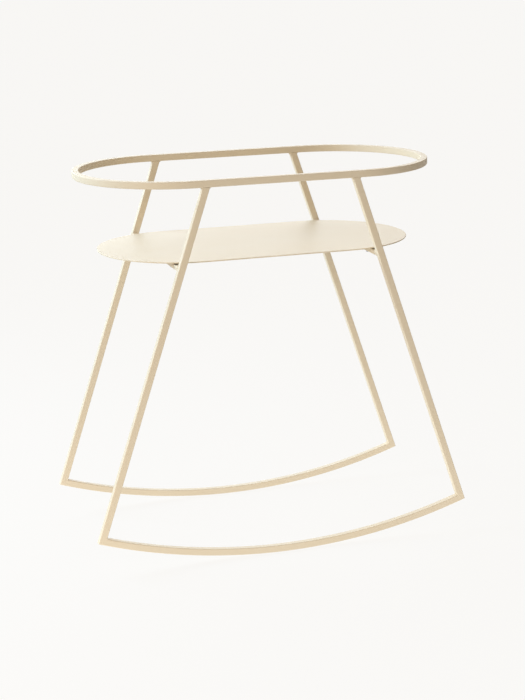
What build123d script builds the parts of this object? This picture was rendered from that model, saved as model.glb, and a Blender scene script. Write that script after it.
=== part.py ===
"""Rocking stand for a Moses basket: an oblong hoop on four splayed legs, two curved rockers and a tray.

Millimetres. The origin lies on the floor below the middle of the stand, +X runs along its length,
-Y is the front and +Z is up. Legs, rockers and hoop are 15 mm square steel tube, welded and powder coated.
"""
from build123d import *
from math import cos, degrees, radians, sin, tan
import os

os.makedirs("parts", exist_ok=True)

# Driving dimensions: the whole stand
HOOP_LENGTH = 800.0
HOOP_WIDTH = 435.0
HOOP_TOP = 835.0
ROCKER_RADIUS = 1315.0       # underside of the rockers, struck from a point above the middle
LEG_SPLAY = 18.5             # degrees from upright; each leg points at the rockers' centre

# Square tube of the frame
TUBE = 15.0
WALL = 1.5
TUBE_CORNER = 1.6

# Tray: a flat sheet with half-round ends
TRAY_LENGTH = 704.0
TRAY_WIDTH = 378.0
TRAY_TOP = 660.0
TRAY_SHEET = 2.5
TRAY_EDGE = 0.5              # bevel of the deburred edge

# Crossbars: flat tube between a front and a rear leg, under the tray
BAR_WIDTH = 15.0
BAR_HEIGHT = 10.0

# Rubber pads and spacers that keep the tray off the crossbars
PAD_DIAMETER = 12.0
PAD_HEIGHT = 2.5
PAD_REACH = 172.0            # each side of the middle, along Y
PAD_EDGE = 0.4
SPACER_DIAMETER = 10.0

# M4 weld studs under the tray, with washers and nuts below the crossbars
STUD_DIAMETER = 4.0
STUD_REACH = 132.0
STUD_LENGTH = 17.3
STUD_TIP = 0.5
STUD_HOLE = 5.0
WASHER_DIAMETER = 9.0
WASHER_HOLE = 4.3
WASHER_SHEET = 0.8
NUT_ACROSS_FLATS = 7.0
NUT_SIDES = 6
NUT_HEIGHT = 3.2

# Fillet welds
WELD_LEG = 4.0
WELD_HOLLOW = 0.4            # how far the bead's face dips between its toes
HOOP_WELD_LENGTH = 11.5
BAR_WELD_LENGTH = 10.0

# Worked out from the driving dimensions
HALF_TUBE = TUBE / 2
SIDE_Y = HOOP_WIDTH / 2 - HALF_TUBE                     # middle of the front and rear tubes
BEND_RADIUS = SIDE_Y                                    # the hoop's ends are half circles
HOOP_STRAIGHT = (HOOP_LENGTH - HOOP_WIDTH) / 2          # from the middle to where a bend starts
HOOP_MID_Z = HOOP_TOP - HALF_TUBE
HOOP_UNDERSIDE = HOOP_TOP - TUBE
ROCKER_MID_RADIUS = ROCKER_RADIUS - HALF_TUBE
TRAY_UNDERSIDE = TRAY_TOP - TRAY_SHEET
BAR_TOP = TRAY_UNDERSIDE - PAD_HEIGHT
BAR_MID_Z = BAR_TOP - BAR_HEIGHT / 2
BAR_UNDERSIDE = BAR_TOP - BAR_HEIGHT
BAR_LENGTH = 2 * (SIDE_Y - HALF_TUBE)                   # from leg face to leg face
HALF_LEG_CUT = HALF_TUBE / cos(radians(LEG_SPLAY))      # half of a leg's level section, along X
SPARE = 40.0                                            # extra length that a later cut takes off

SIDES = {"left": -1, "right": 1}
RIMS = {"front": -1, "rear": 1}


def tube_profile(width, height):
    """Hollow rectangular tube with rounded outer corners, centred in the current sketch."""
    RectangleRounded(width, height, TUBE_CORNER)
    Rectangle(width - 2 * WALL, height - 2 * WALL, mode=Mode.SUBTRACT)


def leg_reach(height):
    """How far a leg's middle line stands from the stand's middle, along X, at a height."""
    return (ROCKER_RADIUS - height) * tan(radians(LEG_SPLAY))


def leg_direction(side):
    """Unit vector up a leg, towards the rockers' centre."""
    return Vector(-side * sin(radians(LEG_SPLAY)), 0, cos(radians(LEG_SPLAY)))


def leg_foot(side, rim):
    """Where the middle line of a leg meets the middle line of its rocker."""
    reach = ROCKER_MID_RADIUS * sin(radians(LEG_SPLAY))
    height = ROCKER_RADIUS - ROCKER_MID_RADIUS * cos(radians(LEG_SPLAY))
    return Vector(side * reach, rim * SIDE_Y, height)


def mitre_plane(side, rim):
    """Cutting plane of a bottom corner; its normal points to the leg and away from the rocker."""
    up_leg = leg_direction(side)
    along_rocker = Vector(-side * cos(radians(LEG_SPLAY)), 0, -sin(radians(LEG_SPLAY)))
    return Plane(origin=leg_foot(side, rim), x_dir=(0, 1, 0), z_dir=up_leg - along_rocker)


def bead_section(root, first_toe, second_toe):
    """Edges round a fillet weld's section: two legs that meet at the root, and a slightly hollow face."""
    toe_middle = (first_toe + second_toe) / 2
    face_middle = toe_middle + (root - toe_middle).normalized() * WELD_HOLLOW
    with BuildLine() as outline:
        Polyline(first_toe, root, second_toe)
        ThreePointArc(second_toe, face_middle, first_toe)
    return outline.edges()


def finish(piece, name):
    """Label a finished piece and write it to its own STEP file."""
    piece.part.label = name
    export_step(piece.part, f"parts/{name}.step")


# Hoop: two U-bends of square tube, butt welded at the middle of the long sides
for side_name, side in SIDES.items():
    with BuildPart() as hoop_half:
        with BuildLine() as bend_line:
            front_run = Line((0, -SIDE_Y, HOOP_MID_Z), (side * HOOP_STRAIGHT, -SIDE_Y, HOOP_MID_Z))
            bend = ThreePointArc(
                front_run @ 1,
                (side * (HOOP_STRAIGHT + BEND_RADIUS), 0, HOOP_MID_Z),
                (side * HOOP_STRAIGHT, SIDE_Y, HOOP_MID_Z),
            )
            Line(bend @ 1, (0, SIDE_Y, HOOP_MID_Z))
        with BuildSketch(Plane(origin=front_run @ 0, x_dir=(0, 1, 0), z_dir=(side, 0, 0))):
            tube_profile(TUBE, TUBE)
        sweep()
    finish(hoop_half, f"hoop_{side_name}_half")

# Legs: straight tube, cut level under the hoop and mitred at the rocker
for rim_name, rim in RIMS.items():
    for side_name, side in SIDES.items():
        with BuildPart() as leg:
            start = leg_foot(side, rim) - leg_direction(side) * SPARE
            with BuildSketch(Plane(origin=start, x_dir=(0, 1, 0), z_dir=leg_direction(side))):
                tube_profile(TUBE, TUBE)
            extrude(amount=HOOP_TOP / cos(radians(LEG_SPLAY)) + SPARE)
            split(bisect_by=Plane.XY.offset(HOOP_UNDERSIDE), keep=Keep.BOTTOM)
            split(bisect_by=mitre_plane(side, rim), keep=Keep.TOP)
        finish(leg, f"{rim_name}_{side_name}_leg")

# Rockers: tube rolled to the rocking radius, mitred to the leg at both ends
for rim_name, rim in RIMS.items():
    with BuildPart() as rocker:
        rocking_axis = Axis((0, rim * SIDE_Y, ROCKER_RADIUS), (0, -1, 0))
        half_arc = LEG_SPLAY + degrees(SPARE / ROCKER_RADIUS)
        arc_start = Vector(
            -ROCKER_MID_RADIUS * sin(radians(half_arc)),
            rim * SIDE_Y,
            ROCKER_RADIUS - ROCKER_MID_RADIUS * cos(radians(half_arc)),
        )
        heading = Vector(cos(radians(half_arc)), 0, -sin(radians(half_arc)))
        with BuildSketch(Plane(origin=arc_start, x_dir=(0, 1, 0), z_dir=heading)):
            tube_profile(TUBE, TUBE)
        revolve(axis=rocking_axis, revolution_arc=2 * half_arc)
        for side in SIDES.values():
            split(bisect_by=mitre_plane(side, rim), keep=Keep.BOTTOM)
    finish(rocker, f"{rim_name}_rocker")

# Crossbars: flat tube between a front and a rear leg, drilled through for the tray's studs
BAR_X = leg_reach(BAR_MID_Z)
for side_name, side in SIDES.items():
    with BuildPart() as crossbar:
        with BuildSketch(Plane.XZ.offset(-BAR_LENGTH / 2)):
            with Locations((side * BAR_X, BAR_MID_Z)):
                tube_profile(BAR_WIDTH, BAR_HEIGHT)
        extrude(amount=BAR_LENGTH)
        with Locations([(side * BAR_X, rim * STUD_REACH, BAR_TOP) for rim in RIMS.values()]):
            Hole(STUD_HOLE / 2)
    finish(crossbar, f"{side_name}_crossbar")

# Tray: laser-cut sheet with half-round ends
with BuildPart() as tray_plate:
    with BuildSketch(Plane.XY.offset(TRAY_UNDERSIDE)):
        SlotOverall(TRAY_LENGTH, TRAY_WIDTH)
    extrude(amount=TRAY_SHEET)
    chamfer(tray_plate.faces().filter_by(Axis.Z).edges(), TRAY_EDGE)
finish(tray_plate, "tray_plate")

# The four places over the crossbars where a stud, and further out a pad, stands
STUD_PLACES = [(side * BAR_X, rim * STUD_REACH) for side in SIDES.values() for rim in RIMS.values()]
PAD_PLACES = [(side * BAR_X, rim * PAD_REACH) for side in SIDES.values() for rim in RIMS.values()]

# Studs, welded to the tray's underside so that its top stays clean
with BuildPart() as tray_studs:
    with BuildSketch(Plane.XY.offset(TRAY_UNDERSIDE - STUD_LENGTH)):
        with Locations(STUD_PLACES):
            Circle(STUD_DIAMETER / 2)
    extrude(amount=STUD_LENGTH)
    chamfer(tray_studs.faces().group_by(Axis.Z)[0].edges(), STUD_TIP)
finish(tray_studs, "tray_studs")

# Rubber pads near the legs, with a bevelled rim
with BuildPart() as bumper_pads:
    with BuildSketch(Plane.XY.offset(BAR_TOP)):
        with Locations(PAD_PLACES):
            Circle(PAD_DIAMETER / 2)
    extrude(amount=PAD_HEIGHT)
    chamfer(bumper_pads.faces().filter_by(Axis.Z).edges(), PAD_EDGE)
finish(bumper_pads, "bumper_pads")

# Rubber spacer rings round the studs, as high as the pads
with BuildPart() as stud_spacers:
    with BuildSketch(Plane.XY.offset(BAR_TOP)):
        with Locations(STUD_PLACES):
            Circle(SPACER_DIAMETER / 2)
            Circle(WASHER_HOLE / 2, mode=Mode.SUBTRACT)
    extrude(amount=PAD_HEIGHT)
finish(stud_spacers, "stud_spacers")

# Washers under the crossbars
with BuildPart() as stud_washers:
    with BuildSketch(Plane.XY.offset(BAR_UNDERSIDE - WASHER_SHEET)):
        with Locations(STUD_PLACES):
            Circle(WASHER_DIAMETER / 2)
            Circle(WASHER_HOLE / 2, mode=Mode.SUBTRACT)
    extrude(amount=WASHER_SHEET)
finish(stud_washers, "stud_washers")

# Hexagon nuts under the washers, bored to the stud's size
with BuildPart() as stud_nuts:
    with BuildSketch(Plane.XY.offset(BAR_UNDERSIDE - WASHER_SHEET - NUT_HEIGHT)):
        with Locations(STUD_PLACES):
            RegularPolygon(NUT_ACROSS_FLATS / 2, NUT_SIDES, major_radius=False)
            Circle(STUD_DIAMETER / 2, mode=Mode.SUBTRACT)
    extrude(amount=NUT_HEIGHT)
finish(stud_nuts, "stud_nuts")

# Welds under the hoop, one on each side of every leg; the faces flush with the hoop are ground smooth
with BuildPart() as hoop_welds:
    for rim in RIMS.values():
        for side in SIDES.values():
            down_leg = Vector(side * sin(radians(LEG_SPLAY)), -cos(radians(LEG_SPLAY)))
            for face in (-1, 1):
                root = Vector(side * leg_reach(HOOP_UNDERSIDE) + face * HALF_LEG_CUT, HOOP_UNDERSIDE)
                toes = root + Vector(face * WELD_LEG, 0), root + down_leg * WELD_LEG
                with BuildSketch(Plane.XZ.offset(-rim * SIDE_Y - HOOP_WELD_LENGTH / 2)):
                    make_face(bead_section(root, *toes))
                extrude(amount=HOOP_WELD_LENGTH)
finish(hoop_welds, "hoop_welds")

# Welds above and below each end of the crossbars, against the inner face of the leg
with BuildPart() as crossbar_welds:
    for rim in RIMS.values():
        for side in SIDES.values():
            for height, rise in ((BAR_UNDERSIDE, -1), (BAR_TOP, 1)):
                bead_middle = side * (BAR_X + leg_reach(height)) / 2
                root = Vector(rim * BAR_LENGTH / 2, height)
                toes = root - Vector(rim * WELD_LEG, 0), root + Vector(0, rise * WELD_LEG)
                with BuildSketch(Plane.YZ.offset(bead_middle - BAR_WELD_LENGTH / 2)):
                    make_face(bead_section(root, *toes))
                extrude(amount=BAR_WELD_LENGTH)
finish(crossbar_welds, "crossbar_welds")
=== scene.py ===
from math import cos, pi, radians, sin, sqrt, tan

import bpy
import numpy as np
from mathutils import Matrix, Vector


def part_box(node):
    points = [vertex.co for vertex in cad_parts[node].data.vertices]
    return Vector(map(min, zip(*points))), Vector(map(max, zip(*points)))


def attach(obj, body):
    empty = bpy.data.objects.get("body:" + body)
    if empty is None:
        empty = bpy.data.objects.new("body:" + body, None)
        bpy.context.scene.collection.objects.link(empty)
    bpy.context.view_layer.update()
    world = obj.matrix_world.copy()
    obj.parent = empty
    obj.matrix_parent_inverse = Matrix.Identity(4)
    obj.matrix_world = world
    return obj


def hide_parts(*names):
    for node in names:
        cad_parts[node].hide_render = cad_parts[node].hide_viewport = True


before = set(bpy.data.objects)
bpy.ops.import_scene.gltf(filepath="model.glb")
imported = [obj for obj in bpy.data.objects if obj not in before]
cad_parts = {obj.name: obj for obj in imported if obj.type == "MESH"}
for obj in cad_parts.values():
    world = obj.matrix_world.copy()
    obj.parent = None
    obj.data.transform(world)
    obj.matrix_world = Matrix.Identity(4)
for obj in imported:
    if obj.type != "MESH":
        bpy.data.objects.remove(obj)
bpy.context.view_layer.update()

scene = bpy.context.scene

# --- Camera -------------------------------------------------------------------------------------------
# A long lens almost four metres away, a little left of the stand's front and above the height of the
# hoop, held very slightly turned about its own axis.
CAMERA_PLACE = (-1.1206, -3.6299, 1.3780)
CAMERA_TURN = radians(17.40)             # to the right of straight ahead, along +Y
CAMERA_DIP = radians(14.35)              # below level
CAMERA_ROLL = radians(-1.05)
CAMERA_LENS = 88.87                      # millimetres, on a 36 mm sensor

camera_data = bpy.data.cameras.new("camera")
camera_data.sensor_width = 36
camera_data.lens = CAMERA_LENS
camera = bpy.data.objects.new("camera", camera_data)
scene.collection.objects.link(camera)
camera.matrix_world = (
    Matrix.Translation(CAMERA_PLACE)
    @ Matrix.Rotation(-CAMERA_TURN, 4, "Z")
    @ Matrix.Rotation(pi / 2 - CAMERA_DIP, 4, "X")
    @ Matrix.Rotation(CAMERA_ROLL, 4, "Z")
)
scene.camera = camera

# --- Hoop ---------------------------------------------------------------------------------------------
# Two U-bends of 15 mm square steel tube, butt welded at the middle of the long sides and ground flush.
# The whole frame is shot-blasted and powder coated in one matt cream after welding.
MM = 0.001
HOOP_LOW, HOOP_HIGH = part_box("hoop_right_half")
TUBE = HOOP_HIGH[2] - HOOP_LOW[2]
TUBE_CORNER = 1.6 * MM
SIDE_Y = HOOP_HIGH[1] - TUBE / 2                       # middle line of the front and rear tubes
HOOP_STRAIGHT = HOOP_HIGH[0] - HOOP_HIGH[1]            # where a straight side turns into the bend
HOOP_Z = (HOOP_LOW[2] + HOOP_HIGH[2]) / 2
BEND_STEPS = 96                                        # over the half turn of a U-bend
CORNER_STEPS = 6
CORNER_HOLD = 0.25 * MM                                # keeps the shading of the flats flat
SHARP_TURN = radians(40)                               # between faces that aren't shaded as one

COAT_COLOUR = "#E6D9C0"
COAT_TONE = "#E4D5B8"                                  # where the powder lies slightly thicker
COAT_TONE_SPREAD = 90 * MM
COAT_ROUGHNESS = 0.5
COAT_IOR = 1.5
COAT_GRAIN = 1.4 * MM                                  # orange peel, drawn coarser than the real 0.8 mm
COAT_GRAIN_HEIGHT = 0.13 * MM                          # and deeper than a few micrometres, so that it shows


def linear(colour):
    """An sRGB hex colour as linear RGBA."""
    parts = [int(colour[i:i + 2], 16) / 255 for i in (1, 3, 5)]
    return [p / 12.92 if p <= 0.04045 else ((p + 0.055) / 1.055) ** 2.4 for p in parts] + [1.0]


def add_node(tree, kind, inputs=None, **settings):
    """A new node with its settings; each input is a value or the output socket that feeds it."""
    node = tree.nodes.new(kind)
    for name, value in settings.items():
        setattr(node, name, value)
    for name, value in (inputs or {}).items():
        if isinstance(value, bpy.types.NodeSocket):
            tree.links.new(value, node.inputs[name])
        else:
            node.inputs[name].default_value = value
    return node


def new_material(name):
    """An empty node material and its tree."""
    material = bpy.data.materials.new(name)
    material.use_nodes = True
    material.node_tree.nodes.clear()
    return material, material.node_tree


def make_powder_coat():
    """Matt polyester powder over steel: an even cream with a very fine orange peel and a soft low gloss."""
    material, tree = new_material("matt_cream_powder_coat")
    place = add_node(tree, "ShaderNodeTexCoord").outputs["Object"]
    drift = add_node(tree, "ShaderNodeTexNoise",
                     {"Vector": place, "Scale": 1 / COAT_TONE_SPREAD, "Detail": 2.0})
    tone = add_node(tree, "ShaderNodeMix",
                    {"Factor": drift.outputs["Fac"], "A": linear(COAT_COLOUR), "B": linear(COAT_TONE)},
                    data_type="RGBA")
    grain = add_node(tree, "ShaderNodeTexNoise",
                     {"Vector": place, "Scale": 1 / COAT_GRAIN, "Detail": 1.0})
    peel = add_node(tree, "ShaderNodeBump",
                    {"Height": grain.outputs["Fac"], "Distance": COAT_GRAIN_HEIGHT, "Strength": 1.0})
    skin = add_node(tree, "ShaderNodeBsdfPrincipled",
                    {"Base Color": tone.outputs["Result"], "Normal": peel.outputs["Normal"],
                     "Roughness": COAT_ROUGHNESS, "IOR": COAT_IOR})
    add_node(tree, "ShaderNodeOutputMaterial", {"Surface": skin.outputs["BSDF"]})
    return material


def tube_outline():
    """Square tube's outer section: in each quarter, an arc of the corner radius about the corner's centre.

    Columns are the offsets across the two flats. A point just before and after each arc lies on the flat.
    """
    quarter = np.radians(np.linspace(0, 90, CORNER_STEPS + 1))
    turns = np.radians([0, 90, 180, 270])[:, None]
    arc = np.stack([np.cos(quarter), np.sin(quarter)], axis=-1) * TUBE_CORNER
    before = arc[:1] - [0, CORNER_HOLD]
    after = arc[-1:] - [CORNER_HOLD, 0]
    corner = np.concatenate([before, arc, after]) + (TUBE / 2 - TUBE_CORNER)
    across = np.cos(turns) * corner[:, 0] - np.sin(turns) * corner[:, 1]
    along = np.sin(turns) * corner[:, 0] + np.cos(turns) * corner[:, 1]
    return across.ravel(), along.ravel()


def skin_mesh(name, grids, looped):
    """One mesh over grids of points, each with rows of closed rings.

    Neighbouring rings are joined by quads. The first and last ring are closed by a flat face each, or are
    joined to each other when looped. The same winding on every grid leaves all faces pointing outwards.
    """
    points, faces, start = [], [], 0
    for grid in grids:
        rows, ring = grid.shape[:2]
        row = np.arange(rows if looped else rows - 1)[:, None]
        place = np.arange(ring)[None, :]
        beyond = (row + 1) % rows
        turned = (place + 1) % ring
        corners = (row * ring + place, row * ring + turned, beyond * ring + turned, beyond * ring + place)
        faces += (np.stack(corners, axis=-1).reshape(-1, 4) + start).tolist()
        if not looped:
            faces.append((np.arange(ring)[::-1] + start).tolist())
            faces.append((np.arange(ring) + (rows - 1) * ring + start).tolist())
        points += grid.reshape(-1, 3).tolist()
        start += rows * ring
    mesh = bpy.data.meshes.new(name)
    mesh.from_pydata(points, [], faces)
    mesh.shade_smooth()
    mesh.set_sharp_from_angle(angle=SHARP_TURN)
    mesh.validate()
    return mesh


def add_piece(name, grids, material, slot, *nodes, looped=False):
    """The skin over the grids, as a piece of the stand in the place of the CAD nodes that it stands for."""
    mesh = skin_mesh(name, grids, looped)
    piece = bpy.data.objects.new(name, mesh)
    scene.collection.objects.link(piece)
    mesh.materials.append(material)
    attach(piece, "root")
    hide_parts(*nodes)


def hoop_half(side):
    """Half of the hoop: the tube's section carried along a straight, a half circle and a straight.

    A point at turn a from +X stands at spine + (radius + across) * (cos a, sin a), where the spine is the
    straight's end on this side, and x = 0 for the first and last section.
    """
    across, along = tube_outline()
    bend = np.radians(np.linspace(-90, 90, BEND_STEPS + 1))
    turn = np.concatenate([bend[:1], bend, bend[-1:]])[:, None]
    spine = np.full(turn.shape, HOOP_STRAIGHT)
    spine[[0, -1]] = 0
    reach = SIDE_Y + across
    x = side * (spine + reach * np.cos(turn))
    x[[0, -1]] = 0
    grid = np.stack([x, reach * np.sin(turn), np.broadcast_to(HOOP_Z + along, x.shape)], axis=-1)
    return grid if side < 0 else grid[::-1]


powder_coat = make_powder_coat()
for side_name, side in {"left": -1, "right": 1}.items():
    half = f"hoop_{side_name}_half"
    add_piece(f"{half}_coated", [hoop_half(side)], powder_coat, "powder_coat", half)

# --- Legs ---------------------------------------------------------------------------------------------
# Four straight lengths of the same tube, cut level where they meet the underside of the hoop and mitred
# at the rocker. Each one points at the centre that its rocker is struck from.
ROCKER_RADIUS = 1315 * MM                # underside of the rockers
LEG_SPLAY = radians(18.5)                # from upright
ROCKER_MID = ROCKER_RADIUS - TUBE / 2    # middle line of the rockers
LEG_STEPS = 8


def leg_grid(side, rim):
    """A leg: the tube's section carried along a line through the rocker's centre.

    A point is centre + distance * outwards + across * sideways, and the distance runs from the mitre,
    where it is the rocker's middle radius plus the offset sideways, to the level of the hoop's underside.
    """
    sideways, along_y = tube_outline()
    outwards = np.array([side * sin(LEG_SPLAY), 0, -cos(LEG_SPLAY)])
    tangent = np.array([side * cos(LEG_SPLAY), 0, sin(LEG_SPLAY)])
    foot = ROCKER_MID + sideways
    head = (ROCKER_RADIUS - HOOP_LOW[2] + sideways * sin(LEG_SPLAY)) / cos(LEG_SPLAY)
    share = np.linspace(0, 1, LEG_STEPS + 1)[:, None]
    distance = foot + share * (head - foot)
    middle = np.array([0, rim * SIDE_Y, ROCKER_RADIUS])
    grid = middle + distance[..., None] * outwards + (sideways[:, None] * tangent)[None]
    grid[..., 1] += along_y
    return grid if side > 0 else grid[::-1]


for rim_name, rim in {"front": -1, "rear": 1}.items():
    for side_name, side in {"left": -1, "right": 1}.items():
        leg = f"{rim_name}_{side_name}_leg"
        add_piece(f"{leg}_coated", [leg_grid(side, rim)], powder_coat, "powder_coat", leg)

# --- Rockers ------------------------------------------------------------------------------------------
# Two lengths of the tube rolled to a large radius, one under each pair of legs. Each end is mitred to
# its leg and welded, and the weld is ground flush, so the corner is sharp.
ROCKER_STEPS = 120


def rocker_grid(rim):
    """A rocker: the tube's section carried round an arc of the rocking radius.

    A point at radius r and turn a from straight down is (r sin a, y, centre - r cos a). It ends on the
    mitre, where the turn is the splay plus 45 degrees less asin(middle radius / (r * root 2)).
    """
    along_y, outwards = tube_outline()
    radius = ROCKER_MID + outwards
    end_turn = LEG_SPLAY + pi / 4 - np.arcsin(ROCKER_MID / (radius * sqrt(2)))
    turn = np.linspace(1, -1, ROCKER_STEPS + 1)[:, None] * end_turn
    y = np.broadcast_to(rim * SIDE_Y + along_y, turn.shape)
    return np.stack([radius * np.sin(turn), y, ROCKER_RADIUS - radius * np.cos(turn)], axis=-1)


for rim_name, rim in {"front": -1, "rear": 1}.items():
    rocker = f"{rim_name}_rocker"
    add_piece(f"{rocker}_coated", [rocker_grid(rim)], powder_coat, "powder_coat", rocker)

# --- Welds --------------------------------------------------------------------------------------------
# Short fillet beads, run by hand in a row of small overlapping ripples: two at the head of every leg, and
# two at each end of the crossbars. The powder coat lies over them. Faces flush with the hoop are ground.
BEAD_LEG = 4 * MM                        # from the corner to each toe
BEAD_RIPPLE = 1.6 * MM                   # from one ripple to the next
BEAD_RIPPLE_HEIGHT = 0.12 * MM
BEAD_CROWN = 0.25 * MM                   # how far the middle of the face stands below the line of its toes
BEAD_END = 1.5 * MM                      # length over which an end rounds off
BEAD_BLUNT = 0.98                        # share of that length after which the end is cut flat
BEAD_STEPS = 56                          # along the run
BEAD_FACE_STEPS = 12                     # from toe to toe
HOOP_BEAD_LENGTH = 11.5 * MM
BAR_BEAD_LENGTH = 10 * MM


def bead_grid(root, first_leg, second_leg, run, length):
    """A fillet bead: a hollow-faced triangle carried along its run, its face rippled, its ends rounded.

    At w from toe to toe (-1 to 1) the face lies on the line of the toes, less crown * (1 - w^2), plus
    ripple * (1 - w^2) * cos(2 pi (t / pitch + w^2)); at an end everything draws in towards the root.
    """
    vectors = (root, first_leg, second_leg, run)
    root, first_leg, second_leg, run = (np.array(vector, dtype=float) for vector in vectors)
    t = np.linspace(-length / 2, length / 2, BEAD_STEPS + 1)[:, None]
    w = np.linspace(-1, 1, BEAD_FACE_STEPS + 1)
    middle = (first_leg + second_leg) * BEAD_LEG / 2
    half_face = (second_leg - first_leg) * BEAD_LEG / 2
    outwards = middle / np.linalg.norm(middle)
    swell = BEAD_RIPPLE_HEIGHT * np.cos(2 * pi * (t / BEAD_RIPPLE + w * w)) - BEAD_CROWN
    rise = swell * (1 - w * w)
    into_end = np.clip(1 - (length / 2 - np.abs(t)) / BEAD_END, 0, BEAD_BLUNT)
    fullness = np.sqrt(1 - into_end ** 2)[..., None]
    face = middle + w[:, None] * half_face + rise[..., None] * outwards
    ring = np.concatenate([face, np.zeros((len(t), 1, 3))], axis=1) * fullness
    grid = root + ring + t[..., None] * run
    turns_right = np.dot(np.cross(first_leg, second_leg), run) > 0
    return grid if turns_right else grid[::-1]


hoop_beads = []
for rim in (-1, 1):
    for side in (-1, 1):
        down_leg = (side * sin(LEG_SPLAY), 0, -cos(LEG_SPLAY))
        head_middle = side * (ROCKER_RADIUS - HOOP_LOW[2]) * tan(LEG_SPLAY)
        for face in (-1, 1):
            corner = (head_middle + face * TUBE / 2 / cos(LEG_SPLAY), rim * SIDE_Y, HOOP_LOW[2])
            hoop_beads.append(bead_grid(corner, (face, 0, 0), down_leg, (0, 1, 0), HOOP_BEAD_LENGTH))
add_piece("hoop_welds_coated", hoop_beads, powder_coat, "powder_coat", "hoop_welds")

BAR_LOW, BAR_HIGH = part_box("right_crossbar")
bar_beads = []
for rim in (-1, 1):
    for side in (-1, 1):
        for height, rise in ((BAR_LOW[2], -1), (BAR_HIGH[2], 1)):
            leg_x = side * (ROCKER_RADIUS - height) * tan(LEG_SPLAY)
            bead_x = (leg_x + side * (BAR_LOW[0] + BAR_HIGH[0]) / 2) / 2
            corner = (bead_x, rim * BAR_HIGH[1], height)
            bar_beads.append(bead_grid(corner, (0, -rim, 0), (0, 0, rise), (1, 0, 0), BAR_BEAD_LENGTH))
add_piece("crossbar_welds_coated", bar_beads, powder_coat, "powder_coat", "crossbar_welds")

# --- Crossbars ----------------------------------------------------------------------------------------
# Flat tube between a front and a rear leg, butted against their inner faces, drilled for the tray's studs
# and coated with the frame. The solids have their shape, so they only take the finish.
for name in ("left_crossbar", "right_crossbar"):
    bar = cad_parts[name]
    bar.data.materials.clear()
    bar.data.materials.append(powder_coat)

# --- Tray ---------------------------------------------------------------------------------------------
# A laser-cut steel sheet with half-round ends, its edge deburred round and coated like the frame. It
# lies on rubber pads over the crossbars, and its top is plain because its studs are welded from below.
TRAY_LOW, TRAY_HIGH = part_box("tray_plate")
EDGE_ROUND = 0.6 * MM
EDGE_HOLD = 1.5 * MM                     # a ring on the flat that keeps the broad faces' shading flat
EDGE_STEPS = 5                           # over a quarter circle
TRAY_END_STEPS = 120                     # over a half-round end


def tray_grid():
    """The sheet: one ring for each step of its edge, from the underside round to the top.

    A ring inset by s at height z has its points at straight + (half width - s) * (cos a, sin a), with the
    straight's end on the left or the right; s and z follow a quarter circle below and one above.
    """
    half_width = TRAY_HIGH[1]
    quarter = np.radians(np.linspace(0, 90, EDGE_STEPS + 1))
    lower = np.stack([EDGE_ROUND * (1 - np.sin(quarter)), TRAY_LOW[2] + EDGE_ROUND * (1 - np.cos(quarter))])
    upper = np.stack([lower[0], TRAY_LOW[2] + TRAY_HIGH[2] - lower[1]])[:, ::-1]
    flats = np.array([[EDGE_ROUND + EDGE_HOLD] * 2, [TRAY_LOW[2], TRAY_HIGH[2]]])
    inset, z = np.concatenate([flats[:, :1], lower, upper, flats[:, 1:]], axis=1)[..., None]
    half_turn = np.radians(np.linspace(-90, 90, TRAY_END_STEPS + 1))
    turn = np.concatenate([half_turn, half_turn + pi])
    straight = np.repeat([1, -1], len(half_turn)) * (TRAY_HIGH[0] - half_width)
    x = straight + (half_width - inset) * np.cos(turn)
    y = (half_width - inset) * np.sin(turn)
    return np.stack([x, y, np.broadcast_to(z, x.shape)], axis=-1)


add_piece("tray_coated", [tray_grid()], powder_coat, "powder_coat", "tray_plate")

# --- Rubber pads and spacers --------------------------------------------------------------------------
# Small black discs of moulded rubber near the legs, and rings of it round the studs. They keep the tray
# off the bars so that it doesn't ring, and the tray's weight makes their sides bulge a little.
PAD_LOW, PAD_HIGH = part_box("bumper_pads")
SPACER_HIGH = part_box("stud_spacers")[1]
BAR_X = (BAR_LOW[0] + BAR_HIGH[0]) / 2
PAD_RADIUS = PAD_HIGH[0] - BAR_X
SPACER_RADIUS = SPACER_HIGH[0] - BAR_X
STUD_Y = SPACER_HIGH[1] - SPACER_RADIUS
PAD_Y = PAD_HIGH[1] - PAD_RADIUS
SPACER_BORE = 2.15 * MM                  # radius, round an M4 stud
RUBBER_ROUND = 0.35 * MM
RUBBER_BULGE = 0.3 * MM
RIM_STEPS = 5                            # over the quarter circle of a rim
WALL_STEPS = 8                           # from rim to rim
ROUND_STEPS = 48                         # round a disc or a ring

RUBBER_COLOUR = "#1C1B1A"
RUBBER_BLOOM = "#2E2C2A"                 # the faint grey bloom of new rubber
RUBBER_BLOOM_SIZE = 4 * MM
RUBBER_GRAIN = 0.5 * MM                  # a spark-eroded mould's grain, drawn coarser than the real 0.1 mm
RUBBER_GRAIN_HEIGHT = 0.02 * MM
RUBBER_ROUGHNESS = 0.72
RUBBER_IOR = 1.52


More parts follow.
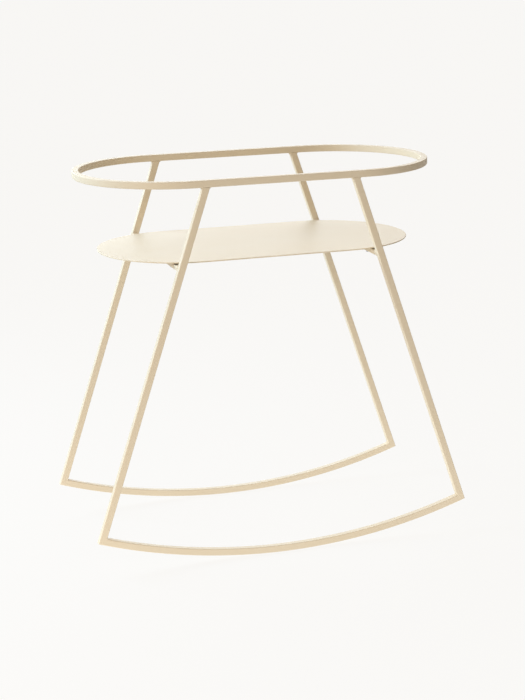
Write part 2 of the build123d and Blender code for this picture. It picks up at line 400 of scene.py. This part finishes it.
def make_rubber():
    """Moulded synthetic rubber: nearly black, dull, with a faint grey bloom in patches."""
    material, tree = new_material("moulded_black_rubber")
    place = add_node(tree, "ShaderNodeTexCoord").outputs["Object"]
    patches = add_node(tree, "ShaderNodeTexNoise",
                       {"Vector": place, "Scale": 1 / RUBBER_BLOOM_SIZE, "Detail": 3.0})
    tone = add_node(tree, "ShaderNodeMix",
                    {"Factor": patches.outputs["Fac"],
                     "A": linear(RUBBER_COLOUR), "B": linear(RUBBER_BLOOM)}, data_type="RGBA")
    grain = add_node(tree, "ShaderNodeTexNoise",
                     {"Vector": place, "Scale": 1 / RUBBER_GRAIN, "Detail": 2.0})
    tooth = add_node(tree, "ShaderNodeBump",
                     {"Height": grain.outputs["Fac"], "Distance": RUBBER_GRAIN_HEIGHT, "Strength": 1.0})
    skin = add_node(tree, "ShaderNodeBsdfPrincipled",
                    {"Base Color": tone.outputs["Result"], "Normal": tooth.outputs["Normal"],
                     "Roughness": RUBBER_ROUGHNESS, "IOR": RUBBER_IOR})
    add_node(tree, "ShaderNodeOutputMaterial", {"Surface": skin.outputs["BSDF"]})
    return material


def turned_grid(radius, height, x, y):
    """A turned form: each pair of radius and height is carried round the upright line through (x, y).

    The radius may differ from step to step of the turn, and then has a row for each height. The point at
    turn a is (x + radius * cos a, y + radius * sin a, height).
    """
    radius = radius if radius.ndim == 2 else np.repeat(radius[:, None], ROUND_STEPS, axis=1)
    turn = np.linspace(0, 2 * pi, radius.shape[1], endpoint=False)
    level = np.broadcast_to(height[:, None], radius.shape)
    return np.stack([x + radius * np.cos(turn), y + radius * np.sin(turn), level], axis=-1)


def rubber_profile(inner, radius):
    """A disc or ring under load: flat ends from the inner radius out, rounded rims, and bulging sides.

    At a share of the height from -1 to 1 the sides stand out by bulge * cos(share * pi / 2).
    """
    rim = np.radians(np.linspace(0, 90, RIM_STEPS + 1))
    share = np.linspace(-1, 1, WALL_STEPS + 1)[1:-1]
    middle = (PAD_LOW[2] + PAD_HIGH[2]) / 2
    wall = (PAD_HIGH[2] - PAD_LOW[2]) / 2 - RUBBER_ROUND
    waist = radius - RUBBER_BULGE
    rim_reach = waist - RUBBER_ROUND * (1 - np.sin(rim))
    rim_drop = wall + RUBBER_ROUND * np.cos(rim)
    sides = waist + RUBBER_BULGE * np.cos(share * pi / 2)
    reach = np.concatenate([[inner], rim_reach, sides, rim_reach[::-1], [inner]])
    height = np.concatenate([-rim_drop[:1], -rim_drop, share * wall, rim_drop[::-1], rim_drop[:1]])
    return reach, middle + height


rubber = make_rubber()
stud_places = [(side * BAR_X, rim * STUD_Y) for side in (-1, 1) for rim in (-1, 1)]
pad_places = [(side * BAR_X, rim * PAD_Y) for side in (-1, 1) for rim in (-1, 1)]
pad_profile = rubber_profile(PAD_RADIUS - RUBBER_BULGE - 2 * RUBBER_ROUND, PAD_RADIUS)
pads = [turned_grid(*pad_profile, x, y) for x, y in pad_places]
add_piece("bumper_pads_rubber", pads, rubber, "black_rubber", "bumper_pads")
spacer_profile = rubber_profile(SPACER_BORE, SPACER_RADIUS)
spacers = [turned_grid(*spacer_profile, x, y) for x, y in stud_places]
add_piece("stud_spacers_rubber", spacers, rubber, "black_rubber", "stud_spacers", looped=True)

# --- Studs, washers and nuts --------------------------------------------------------------------------
# M4 weld studs with a rolled thread, stamped washers and hexagon nuts, all bright zinc plated. They hold
# the tray down through the crossbars and show only from below.
STUD_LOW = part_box("tray_studs")[0]
WASHER_LOW, WASHER_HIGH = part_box("stud_washers")
NUT_LOW, NUT_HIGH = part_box("stud_nuts")
STUD_RADIUS = 2 * MM
THREAD_PITCH = 0.7 * MM
THREAD_DEPTH = 0.43 * MM
THREAD_CREST = THREAD_PITCH / 16         # half the width of its crest
THREAD_FLANK = radians(60)               # from the stud's axis
THREAD_STEPS = 36                        # round the stud
THREAD_RINGS = 8                         # to a pitch
TIP_BEVEL = 0.5 * MM
WASHER_ROUND = 0.12 * MM                 # the edge that the punch rolls over
WASHER_ROUND_STEPS = 4
NUT_FLAT = NUT_HIGH[1] - STUD_Y          # from the middle to a flat
NUT_FACE = 0.97                          # radius of an end face, as a share of NUT_FLAT
NUT_BEVEL = radians(30)                  # of the cone that trims the nut's corners
NUT_LEAD = 0.25 * MM                     # countersink at both ends of its thread
NUT_STEPS = 96                           # round the nut
# Heights of the rings on its outside, as shares of half its height, close together at the bevels.
NUT_RINGS = (-1, -0.94, -0.86, -0.76, -0.64, -0.5, 0, 0.5, 0.64, 0.76, 0.86, 0.94, 1)

ZINC_COLOUR = "#C4C7C6"
ZINC_TINT = "#B3B9BD"                    # the bluish cast of the passivation
ZINC_TINT_SIZE = 3 * MM
ZINC_GRAIN = 0.4 * MM                    # plating crystals, drawn coarser than the real few hundredths
ZINC_ROUGHNESS = (0.28, 0.46)            # of the brightest and of the dullest grains


def make_zinc():
    """Bright zinc plating: a grey metal with a patchy bluish cast and a slightly uneven gloss."""
    material, tree = new_material("bright_zinc_plating")
    place = add_node(tree, "ShaderNodeTexCoord").outputs["Object"]
    patches = add_node(tree, "ShaderNodeTexNoise",
                       {"Vector": place, "Scale": 1 / ZINC_TINT_SIZE, "Detail": 3.0})
    tone = add_node(tree, "ShaderNodeMix",
                    {"Factor": patches.outputs["Fac"], "A": linear(ZINC_COLOUR), "B": linear(ZINC_TINT)},
                    data_type="RGBA")
    grain = add_node(tree, "ShaderNodeTexNoise",
                     {"Vector": place, "Scale": 1 / ZINC_GRAIN, "Detail": 2.0})
    gloss = add_node(tree, "ShaderNodeMapRange",
                     {"Value": grain.outputs["Fac"],
                      "To Min": ZINC_ROUGHNESS[0], "To Max": ZINC_ROUGHNESS[1]})
    skin = add_node(tree, "ShaderNodeBsdfPrincipled",
                    {"Base Color": tone.outputs["Result"], "Metallic": 1.0,
                     "Roughness": gloss.outputs["Result"]})
    add_node(tree, "ShaderNodeOutputMaterial", {"Surface": skin.outputs["BSDF"]})
    return material


def stud_grid(x, y):
    """A threaded stud: its radius follows a ridge that climbs one pitch a turn.

    With d the distance along the stud from the nearest crest, the radius is the outer radius less
    (d - crest) * tan(flank), held between the crest and the root, and within the cone of the tip's bevel.
    """
    share = np.linspace(0, 1, THREAD_STEPS, endpoint=False)
    height = np.arange(STUD_LOW[2], PAD_HIGH[2], THREAD_PITCH / THREAD_RINGS)
    level = height[:, None]
    from_crest = np.abs((level / THREAD_PITCH - share) % 1 - 0.5) * THREAD_PITCH
    depth = np.clip((from_crest - THREAD_CREST) * tan(THREAD_FLANK), 0, THREAD_DEPTH)
    cone = STUD_RADIUS - TIP_BEVEL + level - STUD_LOW[2]
    return turned_grid(np.minimum(STUD_RADIUS - depth, cone), height, x, y)


def nut_grid(x, y):
    """A hexagon nut: round the outside, in over the top, down the bore and out over the bottom.

    The outer radius at turn a is the smaller of flat / cos(distance of a from the nearest flat's middle)
    and a cone that starts just within the flats at each end face and widens away from it.
    """
    turn = np.linspace(0, 2 * pi, NUT_STEPS, endpoint=False)
    off_flat = (turn % (pi / 3)) - pi / 6
    hexagon = NUT_FLAT / np.cos(off_flat)
    half = (NUT_HIGH[2] - NUT_LOW[2]) / 2
    level = half * np.array(NUT_RINGS)
    cone = NUT_FLAT * NUT_FACE + (half - np.abs(level[:, None])) / tan(NUT_BEVEL)
    outer = np.minimum(hexagon, cone)
    bore = STUD_RADIUS + np.array([NUT_LEAD, 0, 0, NUT_LEAD])[:, None] + np.zeros(NUT_STEPS)
    bore_level = [half, half - NUT_LEAD, NUT_LEAD - half, -half]
    height = (NUT_LOW[2] + NUT_HIGH[2]) / 2 + np.concatenate([level, bore_level])
    return turned_grid(np.concatenate([outer, bore]), height, x, y)


zinc = make_zinc()
studs = [stud_grid(x, y) for x, y in stud_places]
add_piece("tray_studs_plated", studs, zinc, "zinc_steel", "tray_studs")
washer_radius = WASHER_HIGH[0] - BAR_X
rolled = np.radians(np.linspace(0, 90, WASHER_ROUND_STEPS + 1))
rolled_reach = washer_radius - WASHER_ROUND * (1 - np.cos(rolled))
rolled_height = WASHER_LOW[2] + WASHER_ROUND * (1 - np.sin(rolled))
washer_profile = (np.concatenate([[SPACER_BORE, washer_radius], rolled_reach, [SPACER_BORE]]),
                  np.concatenate([[WASHER_HIGH[2]] * 2, rolled_height, [WASHER_LOW[2]]]))
washers = [turned_grid(*washer_profile, x, y)[::-1] for x, y in stud_places]
add_piece("stud_washers_plated", washers, zinc, "zinc_steel", "stud_washers", looped=True)
nuts = [nut_grid(x, y) for x, y in stud_places]
add_piece("stud_nuts_plated", nuts, zinc, "zinc_steel", "stud_nuts", looped=True)

# --- Floor and light ----------------------------------------------------------------------------------
# An endless sheet of pale studio paper. The camera and a gloss see an even off-white that still takes the
# stand's shadow. Matt surfaces see instead a painted glow that stands in for the light it throws back on
# the stand: a strip about as wide as the stand is long, dimmer under the tray as painted shade of the
# stand, and dimmer behind the stand.
FLOOR_REACH = 60.0
PAPER_COLOUR = "#F9F8F6"
PAPER_GLOW = 0.94                        # even part of what is seen; the rest is lit, and takes shadow
PAPER_LIT = 0.08
BOUNCE_COLOUR = "#FFFFFE"
BOUNCE_MIDDLE = 1.14                     # strength under the tray
BOUNCE_SIDES = 1.44                      # and under the rockers' ends
BOUNCE_RISE = (0.30, 0.50)               # metres to each side over which it grows from one to the other
BOUNCE_EDGE = (0.60, 0.76)               # metres to each side where the strip starts to fade, and ends
BOUNCE_REAR = (0.15, 0.45)               # metres behind the middle over which the strip dims
BOUNCE_REAR_SHARE = 0.6                  # of its strength that is left there
SKY_COLOUR = "#FFEBD5"
SKY_STRENGTH = 0.42

WINDOW_COLOUR = "#CBE7FF"
REAR_COLOUR = "#F0F7FF"
ROOM_COLOUR = "#FFF3E6"
HEART = (0, 0, 0.55)                     # the middle of the stand, at which every lamp is aimed


def make_paper():
    """Matt seamless paper: an even glow and a share that the lamps light; matt surfaces see a painted glow.
    """
    material, tree = new_material("pale_seamless_paper")
    rays = add_node(tree, "ShaderNodeLightPath")
    place = add_node(tree, "ShaderNodeTexCoord").outputs["Object"]
    spot = add_node(tree, "ShaderNodeSeparateXYZ", {0: place})
    aside = add_node(tree, "ShaderNodeMath", {0: spot.outputs["X"]}, operation="ABSOLUTE")
    level = add_node(tree, "ShaderNodeMapRange",
                     {"Value": aside.outputs["Value"],
                      "From Min": BOUNCE_RISE[0], "From Max": BOUNCE_RISE[1],
                      "To Min": BOUNCE_MIDDLE, "To Max": BOUNCE_SIDES}, interpolation_type="SMOOTHSTEP")
    strip = add_node(tree, "ShaderNodeMapRange",
                     {"Value": aside.outputs["Value"],
                      "From Min": BOUNCE_EDGE[0], "From Max": BOUNCE_EDGE[1],
                      "To Min": level.outputs["Result"], "To Max": 0.0}, interpolation_type="SMOOTHSTEP")
    share = add_node(tree, "ShaderNodeMapRange",
                     {"Value": spot.outputs["Y"],
                      "From Min": BOUNCE_REAR[0], "From Max": BOUNCE_REAR[1],
                      "To Min": 1.0, "To Max": BOUNCE_REAR_SHARE}, interpolation_type="SMOOTHSTEP")
    strength = add_node(tree, "ShaderNodeMath",
                        {0: strip.outputs["Result"], 1: share.outputs["Result"]}, operation="MULTIPLY")
    # The painted glow that matt surfaces see in place of thrown-back light, with painted shade under the
    # tray.
    bounce = add_node(tree, "ShaderNodeEmission",
                      {"Color": linear(BOUNCE_COLOUR), "Strength": strength.outputs["Value"]})
    lit = add_node(tree, "ShaderNodeBsdfDiffuse",
                   {"Color": [PAPER_LIT * part for part in linear(PAPER_COLOUR)]})
    glow = add_node(tree, "ShaderNodeEmission", {"Color": linear(PAPER_COLOUR), "Strength": PAPER_GLOW})
    seen = add_node(tree, "ShaderNodeAddShader", {0: lit.outputs["BSDF"], 1: glow.outputs["Emission"]})
    paper = add_node(tree, "ShaderNodeMixShader",
                     {0: rays.outputs["Is Diffuse Ray"], 1: seen.outputs["Shader"],
                      2: bounce.outputs["Emission"]})
    add_node(tree, "ShaderNodeOutputMaterial", {"Surface": paper.outputs["Shader"]})
    material.cycles.emission_sampling = "NONE"
    return material


def make_world():
    """The room: off-white wherever it is seen or mirrored, and a dim warm fill on matt surfaces."""
    world = bpy.data.worlds.new("studio")
    world.use_nodes = True
    tree = world.node_tree
    tree.nodes.clear()
    rays = add_node(tree, "ShaderNodeLightPath")
    seen = add_node(tree, "ShaderNodeBackground", {"Color": linear(PAPER_COLOUR), "Strength": 1.0})
    fill = add_node(tree, "ShaderNodeBackground", {"Color": linear(SKY_COLOUR), "Strength": SKY_STRENGTH})
    room = add_node(tree, "ShaderNodeMixShader",
                    {0: rays.outputs["Is Diffuse Ray"], 1: seen.outputs["Background"],
                     2: fill.outputs["Background"]})
    add_node(tree, "ShaderNodeOutputWorld", {"Surface": room.outputs["Shader"]})
    world.cycles.sampling_method = "NONE"
    return world


def add_lamp(name, kind, place, energy, colour, spread):
    """A lamp aimed at HEART; spread is a soft box's side in metres, or the angle of a sun in degrees.

    A sun's place only gives the direction that it shines from.
    """
    data = bpy.data.lights.new(name, kind)
    data.energy = energy
    data.color = linear(colour)[:3]
    if kind == "AREA":
        data.size = spread
    else:
        data.angle = radians(spread)
    lamp = bpy.data.objects.new(name, data)
    scene.collection.objects.link(lamp)
    lamp.location = place
    lamp.rotation_euler = (Vector(place) - Vector(HEART)).to_track_quat("Z", "Y").to_euler()


floor_mesh = bpy.data.meshes.new("floor")
edge = FLOOR_REACH
floor_mesh.from_pydata([(-edge, -edge, 0), (edge, -edge, 0), (edge, edge, 0), (-edge, edge, 0)], [],
                       [(0, 1, 2, 3)])
floor_mesh.materials.append(make_paper())
floor = bpy.data.objects.new("floor", floor_mesh)
scene.collection.objects.link(floor)
scene.world = make_world()

# The key is a large box behind the stand's left end. With it a broad soft light comes from the left, and
# both are as cool as a north window. A nearly neutral light comes from the rear, and a warm box from the
# front left opens the faces towards the camera.
add_lamp("key_softbox", "AREA", (-1.8, 0.9, 1.6), 37.6, WINDOW_COLOUR, 1.2)
add_lamp("left_light", "SUN", (-1.0, 0.0, 0.73), 0.90, WINDOW_COLOUR, 60)
add_lamp("rear_light", "SUN", (0.0, 1.0, 1.05), 1.44, REAR_COLOUR, 60)
add_lamp("front_left_softbox", "AREA", (-2.2, -2.0, 1.0), 28.2, ROOM_COLOUR, 1.4)

scene.view_settings.view_transform = "Standard"
